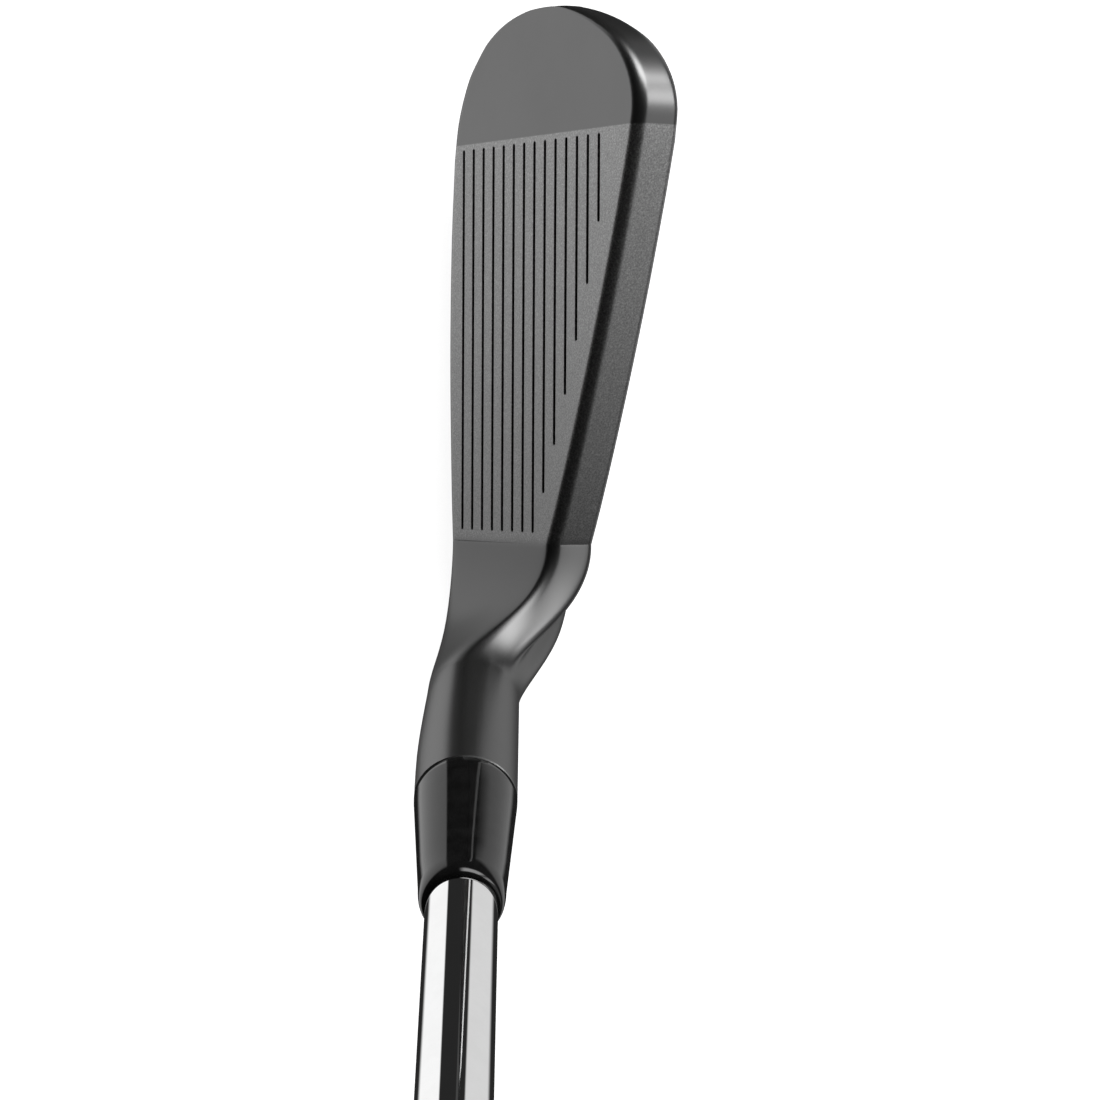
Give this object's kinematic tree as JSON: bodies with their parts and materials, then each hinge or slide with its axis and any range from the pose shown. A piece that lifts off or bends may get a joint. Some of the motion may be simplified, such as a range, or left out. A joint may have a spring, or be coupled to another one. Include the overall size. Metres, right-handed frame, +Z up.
{
  "type": "iron golf club",
  "caption": "Right-handed iron golf club: hollow black steel head with a scored face, tapered ferrule, stepped chrome shaft and moulded rubber grip.",
  "frame": {"origin": "where the shaft axis meets the ground with the club soled at address", "axes": "+Z up from the ground, -Y the way the face looks (toward the target), +X from toe to heel (toward the golfer); the shaft leans toward +X at the 62.5 degree lie"},
  "size_m": [0.5231, 0.0417, 0.8391],
  "materials": {
    "head_black": "satin black physical-vapour coating, media-blasted face zone",
    "tungsten": "sintered, unfinished",
    "foam": "closed-cell filler",
    "screw_steel": "blackened steel",
    "gasket_rubber": "matte",
    "badge_metal": "dark anodised, fine brushed",
    "adhesive": "cured epoxy",
    "ferrule_black": "polished black",
    "chrome_plate": "mirror chrome plate",
    "plug_brass": "machined",
    "band_film": "plain film, no lettering",
    "tape": "double-sided tape",
    "grip_rubber": "moulded, textured matte"
  },
  "bodies": {
    "root": {"head_body": "head_black", "face_insert": "head_black", "toe_weight": "tungsten", "foam_core": "foam", "fill_port_screw": "screw_steel", "port_gasket": "gasket_rubber", "back_badge": "badge_metal", "badge_adhesive": "adhesive", "ferrule": "ferrule_black", "shaft": "chrome_plate", "hosel_epoxy": "adhesive", "tip_plug": "plug_brass", "shaft_band": "band_film", "grip_tape": "tape", "grip_sleeve": "grip_rubber", "grip_cap": "grip_rubber"}
  },
  "joints": []
}
